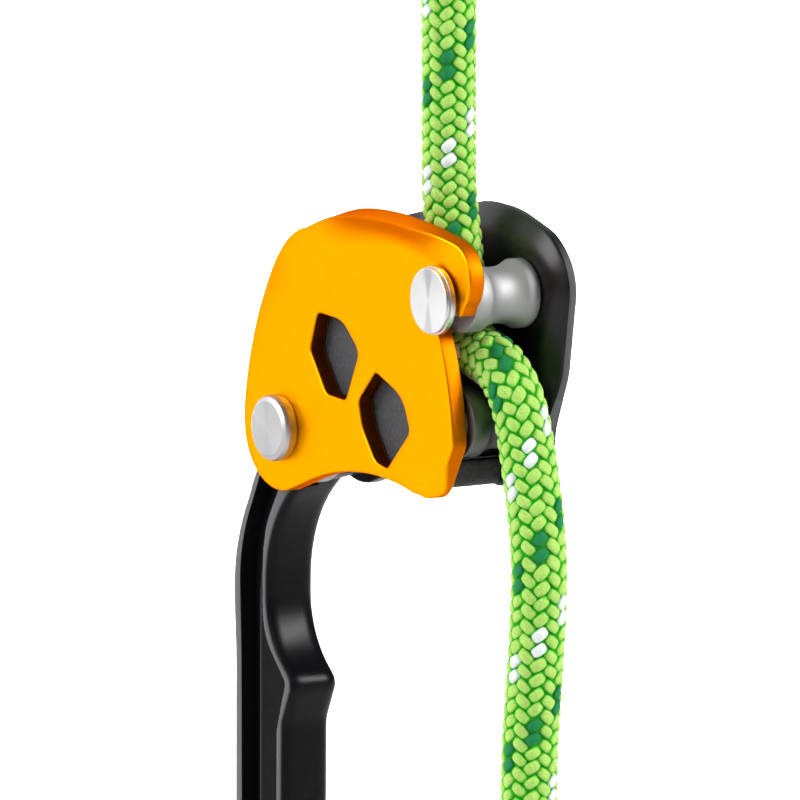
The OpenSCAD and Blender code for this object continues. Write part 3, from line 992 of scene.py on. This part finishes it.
def add_fixed_plate():
    edge = 0.6
    outer = resample(fixed_outline, 0.8)
    holes = [resample(arc(at, radius, 0, 360, count)[:-1], 0.7)
             for at, radius, count in ((PIVOT, SHANK_R, 48), (UPPER, PIN_TAIL_R, 40),
                                       (LOWER, SCREW_R, 32))]
    lines = rim_lines(outer, edge)
    lines += [inset(outer, d) for d in (1.6, 2.6, 3.6, 4.6, 5.6, 6.6)]

    def rim(flat):
        return edge_drop(distance_to(flat, outer), edge)

    inner = seeds(outer, 2.6, 7.6, holes)
    plate = relief(
        "fixed_side_plate_body", outer, holes, lines, [inner],
        lambda flat: fixed_in + rim(flat), lambda flat: fixed_out - rim(flat),
        [BLACK, BLACK, BLACK_EDGE],
        bend_lip(fixed_lip_share(outer), fixed_out, 3.0, LIP_LEAN, 1), "walls")
    # Painted highlight: the outer wall's pale band grows towards the right-hand side.
    paint(plate, "rim", smooth_step((places(plate)[:, 0] - 6) / 6))
    return finish_piece(plate, "head", "black_anodised", "fixed_side_plate")


add_fixed_plate()


BLOCK_CORNERS = [
    (-62, 12, 6), (-25, 26, 8), (-23, 8, 20), (-20.5, -2, 8),
    (-11.5, -9, 6), (-10.5, -24, 2), (-9, -23.5, 1), (-9, -30.1, 1.5),
    (-28.5, -28.5, 60), (-50.5, -31, 3), (-48, -21, 6), (-56, -5, 12), (-67, -3, 6)]


def add_block():
    low, high = (v.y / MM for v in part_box("spacer_block"))
    edge = 0.7
    outer = resample(rounded(BLOCK_CORNERS), 0.7)

    def rim(flat):
        return edge_drop(distance_to(flat, outer), edge)

    block = relief("spacer_block_body", outer, [], rim_lines(outer, edge),
                   [seeds(outer, 2.5, 1.2)], lambda flat: low + rim(flat),
                   lambda flat: np.full(len(flat), high), [BLOCK])
    return finish_piece(block, "head", "dark_block", "spacer_block")


add_block()


# ---------------------------------------------------------------- arm

ARM_CORNERS = [
    (-75.5, -21, 0), (-92.2, -53, 40), (-90.8, -76, 60), (-90.8, -140, 70),
    (-42.7, -193.2, 0), (-30, -182, 0), (-20.2, -168.1, 0), (-70.8, -132, 45),
    (-70.2, -90, 5), (-65.8, -80.5, 4), (-76.7, -70.5, 20), (-76.3, -46.7, 28),
    (-57.5, -28.6, 0)]
DEEP_CORNERS = [
    (-78.2, -32, 1), (-88.2, -52, 38), (-87.4, -76, 60), (-87.2, -139, 66),
    (-59, -171.5, 2.5), (-54.5, -167.5, 2.5), (-82, -136, 60), (-81.7, -62, 36),
    (-79.4, -45.5, 14), (-71.8, -35.8, 1)]
LEDGE_CORNERS = [
    (-77.5, -31.5, 1), (-88.3, -52, 38), (-87.5, -76, 60), (-87.3, -139.2, 66),
    (-58.5, -173, 3), (-50, -165, 3), (-73.2, -133, 43), (-73.0, -92, 4),
    (-69.4, -80.6, 1.5), (-78.6, -70.5, 14), (-78.5, -48, 24), (-71, -35.2, 1)]


def merged_outline(parts, step):
    """The outer outline of overlapping closed loops."""
    kept = []
    for number, loop in enumerate(parts):
        points = resample(loop, step)
        free = np.ones(len(points), bool)
        for other, around in enumerate(parts):
            if other != number:
                free &= ~inside(points, resample(around, step))
        starts = [i for i in range(len(points)) if free[i] and not free[i - 1]]
        if not starts:
            kept.append(points)
            continue
        for start in starts:
            run, i = [], start
            while free[i % len(points)]:
                run.append(points[i % len(points)])
                i += 1
            kept.append(np.array(run))
    outline = [kept.pop(0)]
    while kept:
        tail = outline[-1][-1]
        nearest = min(range(len(kept)), key=lambda k: np.linalg.norm(kept[k][0] - tail))
        outline.append(kept.pop(nearest))
    return np.vstack(outline)


def inner_side(flat):
    """1 along the arm's inner side, where its edges are crowned, 0 elsewhere."""
    x, z = flat.T
    between = np.where(z > -140, -84.5, -84.5 + (-140 - z) * 34.5 / 37)
    return smooth_step((x - between) / 1.5) * smooth_step((z + 170) / 16) \
        * smooth_step((-30 - z) / 8)


def crowned_drop(distance, wide, deep):
    """How far an elliptical edge falls back: wide in the plane and deep along Y."""
    t = np.clip(1 - distance / wide, 0, 1)
    return deep * (1 - np.sqrt(np.maximum(1 - t * t, 0)))


def arm_height(outer, deep, ledge, tongue_depth):
    """A function that gives how far the arm's face falls back from its flat at XZ
    points: round edges, the ledge, the channel, the eye's edge, and the tongue that
    the pivot's spacer sits on."""
    channel_depth, ledge_depth = 4.0, 1.5
    eye_edge, tongue_r, back_r = 2.2, 15.0, 9.5

    def height(flat, front):
        rim, inner = distance_to(flat, outer), inner_side(flat)
        if front:
            wide, long = 2.0 - 0.7 * inner, 2.0 + 1.0 * inner
        else:
            wide, long = 2.2 + 0.8 * inner, 2.2 + 2.0 * inner
        drop = crowned_drop(rim, wide, long)
        in_deep = np.where(inside(flat, deep), distance_to(flat, deep), 0)
        signed = distance_to(flat, ledge) * np.where(inside(flat, ledge), 1, -1)
        drop = np.maximum(drop, ledge_depth * smooth_step(signed / 0.6))
        drop = np.maximum(drop, channel_depth * smooth_step(in_deep / 0.6))
        from_eye = np.linalg.norm(flat - EYE, axis=1) - EYE_R
        drop = np.maximum(drop, edge_drop(from_eye, eye_edge))
        from_pivot = np.linalg.norm(flat - PIVOT, axis=1)
        if front:
            level = tongue_depth * smooth_step((tongue_r - from_pivot) / 1.2)
            return np.where(from_pivot < tongue_r, np.maximum(drop, level), drop)
        return np.where(from_pivot < back_r, 0.0, drop)
    return height


def add_arm():
    low, high = (v.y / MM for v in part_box("arm"))
    tongue_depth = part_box("arm_pivot_bush")[0].y / MM - low
    head = arc(PIVOT, 12.5, 0, 360, 90)[:-1]
    boss = arc(EYE, 17, 0, 360, 110)[:-1]
    outer = resample(merged_outline([head, rounded(ARM_CORNERS), boss], 0.4), 0.75)
    bores = [resample(arc(PIVOT, ARM_BUSH_R, 0, 360, 60)[:-1], 0.7),
             resample(arc(EYE, EYE_R, 0, 360, 90)[:-1], 0.7)]
    deep = resample(rounded(DEEP_CORNERS), 0.8)
    ledge = resample(rounded(LEDGE_CORNERS), 0.8)
    lines = [inset(outer, d) for d in (0.05, 0.18, 0.42, 0.8, 1.35, 2.1, 3.2, 4.6)]
    lines += [inset(deep, d) for d in (-0.45, 0.0, 0.3, 0.6)]
    eye_rings = [arc(EYE, EYE_R + d, 0, 360, 90)[:-1] for d in (0.1, 0.4, 0.9, 1.5, 2.2)]
    cut = [arc(PIVOT, r, 200, 290, 40) for r in (13.6, 14.0, 14.5, 15.0)]
    cut = [c[inside(c, outer) & (distance_to(c, outer) > 0.3)] for c in cut]
    height = arm_height(outer, deep, ledge, tongue_depth)
    inner = seeds(outer, 1.2, 4.9, bores)
    inner = inner[np.abs(distance_to(inner, deep) - 0.3) > 0.7]
    ledge_rows = [inset(ledge, d) for d in (-0.15, 0.1, 0.35, 0.6, 0.9)]
    free = [row[inside(row, outer) & (distance_to(row, outer) > 0.25)
                & (distance_to(row, deep) > 0.3) & ~inside(row, deep)]
            for row in ledge_rows]
    arm = relief("arm_forging", outer, bores, lines + eye_rings, [inner, *cut, *free],
                 lambda flat: low + height(flat, True),
                 lambda flat: high - height(flat, False), [FORGED, RECESS],
                 second=lambda flat: inside(flat, deep)
                 | inside(flat, ledge) & (distance_to(flat, deep) > 0.45))
    points = places(arm)
    flat = points[:, [0, 2]]
    # Painted highlight: the faces nearest the front, and a thin line at the channel's edge,
    # take the pale rim colour; it fades over a shorter depth on the inner side.
    crown = 0.5 - 0.3 * inner_side(flat)
    painted_front_light = 1 - smooth_step((points[:, 1] - low) / crown)
    paint(arm, "rim", np.maximum(painted_front_light, 0.5 * (distance_to(flat, deep) < 0.1)))
    return finish_piece(arm, "arm", "black_forged", "arm")


add_arm()


# ---------------------------------------------------------------- turned pieces

def spool_profile(bore):
    rim, waist = 7.75, 6.3
    profile = [(bore, BOLLARD_FRONT), (rim - 0.55, BOLLARD_FRONT),
               (rim - 0.15, BOLLARD_FRONT + 0.15), (rim, BOLLARD_FRONT + 0.5)]
    for y in np.linspace(-4.1, 6.1, 28):
        share = abs((y - 1) / 5.1)
        profile.append((waist + (rim - waist) * share ** 2.2, y))
    profile += [(rim, fixed_in - 0.5), (rim - 0.4, fixed_in), (bore, fixed_in)]
    return profile


def pin_profile():
    """The upper pin: a flat head with a step and a groove, and its shank and tail."""
    head_r, head_y, shank_r = 7.65, moving_out - 3.15, 3.9
    return rounded_profile([
        (0, head_y, 0), (head_r - 0.25, head_y, 0.35), (head_r - 0.25, head_y + 0.75, 0.1),
        (head_r - 0.45, head_y + 0.9, 0.08), (head_r - 0.45, head_y + 1.02, 0.05),
        (head_r, head_y + 1.1, 0.15), (head_r, moving_out - 0.8, 0.25),
        (head_r - 0.5, moving_out - 0.6, 0.15), (shank_r, moving_out - 0.6, 0.1),
        (shank_r, BOLLARD_FRONT, 0.05), (PIN_TAIL_R, BOLLARD_FRONT, 0.02),
        (PIN_TAIL_R, tail_y, 0.4), (0, tail_y, 0)])


def rivet_profile():
    """The pivot rivet: a flat head with a domed edge, and its shank."""
    head_r, head_y = 7.45, moving_out - 3.5
    return rounded_profile([
        (0, head_y, 0), (head_r - 1.35, head_y, 0.25), (head_r - 0.35, head_y + 0.55, 0.5),
        (head_r, head_y + 1.5, 0.6), (head_r, moving_out - 0.5, 0.3),
        (head_r - 0.2, moving_out - 0.05, 0.05), (SHANK_R, moving_out - 0.05, 0.02),
        (SHANK_R, tail_y, 0.5), (0, tail_y, 0)])


def collar_profile(bore, r):
    """A ring swaged on a tail behind the fixed plate."""
    return rounded_profile([
        (bore, fixed_out, 0), (r, fixed_out, 0.1), (r, tail_y - 0.5, 0.4),
        (r - 0.9, tail_y, 0.4), (bore, tail_y, 0)])


for piece_name, cad_node, at, profile, material, is_ring in (
        ("upper_pin_turned", "upper_bollard_pin", UPPER, pin_profile(), FACED, False),
        ("upper_bollard_spool", "upper_bollard", UPPER, spool_profile(PIN_TAIL_R), STEEL, True),
        ("lower_bollard_spool", "lower_bollard", LOWER, spool_profile(SCREW_R), SHADED_STEEL, True),
        ("pivot_rivet_turned", "pivot_rivet", PIVOT, rivet_profile(), DOMED, False),
        ("upper_collar_turned", "upper_pin_collar", UPPER, collar_profile(PIN_TAIL_R, 7),
         STEEL, True),
        ("pivot_collar_turned", "pivot_rivet_collar", PIVOT, collar_profile(SHANK_R, 8),
         STEEL, True)):
    finish_piece(lathe(piece_name, at, profile, material, is_ring), "head",
                 "stainless_turned", cad_node)

for node_name, material in {
        "lower_bollard_screw": STEEL, "lower_screw_nut": WASHER, "pivot_spacer": SPACER,
        "wave_washer": WASHER, "rear_thrust_washer": BRONZE, "block_screws": SCREW,
        "block_dowels": WASHER, "plate_bush": BRONZE, "arm_pivot_bush": BRONZE}.items():
    node_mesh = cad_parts[node_name].data
    node_mesh.materials.clear()
    node_mesh.materials.append(material)


# ---------------------------------------------------------------- floor and light

def add_floor():
    drop = cad_low.z - 0.02
    bpy.ops.mesh.primitive_plane_add(size=16, location=(0, 0, drop))
    floor = bpy.context.object
    floor.name = "floor"
    material, nodes, links, shader = node_material("floor_paint")
    pale = mix_colour(nodes, links, noise(nodes, links, 3), (0.93, 0.93, 0.93),
                      (0.96, 0.96, 0.96))
    links.new(pale, shader.inputs["Base Color"])
    shader.inputs["Roughness"].default_value = 0.9
    floor.data.materials.append(material)


def area_light(name, place, target, size, power, spread):
    """A soft box that points at a target; spread is in degrees."""
    data = bpy.data.lights.new(name, "AREA")
    data.spread = math.radians(spread)
    data.shape = "RECTANGLE"
    data.size, data.size_y = size
    data.energy = power
    light = bpy.data.objects.new(name, data)
    bpy.context.scene.collection.objects.link(light)
    light.location = place
    light.rotation_mode = "QUATERNION"
    light.rotation_quaternion = (Vector(target) - Vector(place)).to_track_quat("-Z", "Y")


def add_world():
    """Pale surroundings: bright in front and to the left, dimmer on the right."""
    world = bpy.data.worlds.new("studio")
    bpy.context.scene.world = world
    world.use_nodes = True
    nodes, links = world.node_tree.nodes, world.node_tree.links
    where = nodes.new("ShaderNodeTexCoord")
    facing = nodes.new("ShaderNodeVectorMath")
    facing.operation = "DOT_PRODUCT"
    links.new(where.outputs["Generated"], facing.inputs[0])
    facing.inputs[1].default_value = Vector((-0.80, -0.54, 0.25)).normalized()
    share = remap(nodes, links, facing.outputs["Value"], 0.07, 1.5, 0.1, 0.95, smooth=True)
    links.new(share, nodes["Background"].inputs["Strength"])
    nodes["Background"].inputs["Color"].default_value = (1, 1, 1, 1)


def add_lights():
    add_world()
    middle = (-0.03, 0, -0.03)
    area_light("key", (-0.45, -1.3, 0.8), middle, (0.6, 0.8), 14, 180)
    area_light("fill", (1.1, -1.3, 1.2), middle, (1.0, 1.0), 8, 180)
    area_light("rim", (0.85, 0.71, 0.64), middle, (0.3, 0.7), 2.6, 60)
    area_light("floor_behind", (-1.42, 0.96, 0.85), (-1.39, 0.92, -0.2), (2.0, 1.4), 34, 50)
    area_light("floor_before", (-1.3, -0.9, 1.0), (-1.4, -0.95, -0.2), (1.0, 1.0), 5.5, 80)


add_floor()
add_lights()
bpy.context.scene.view_settings.view_transform = "Standard"
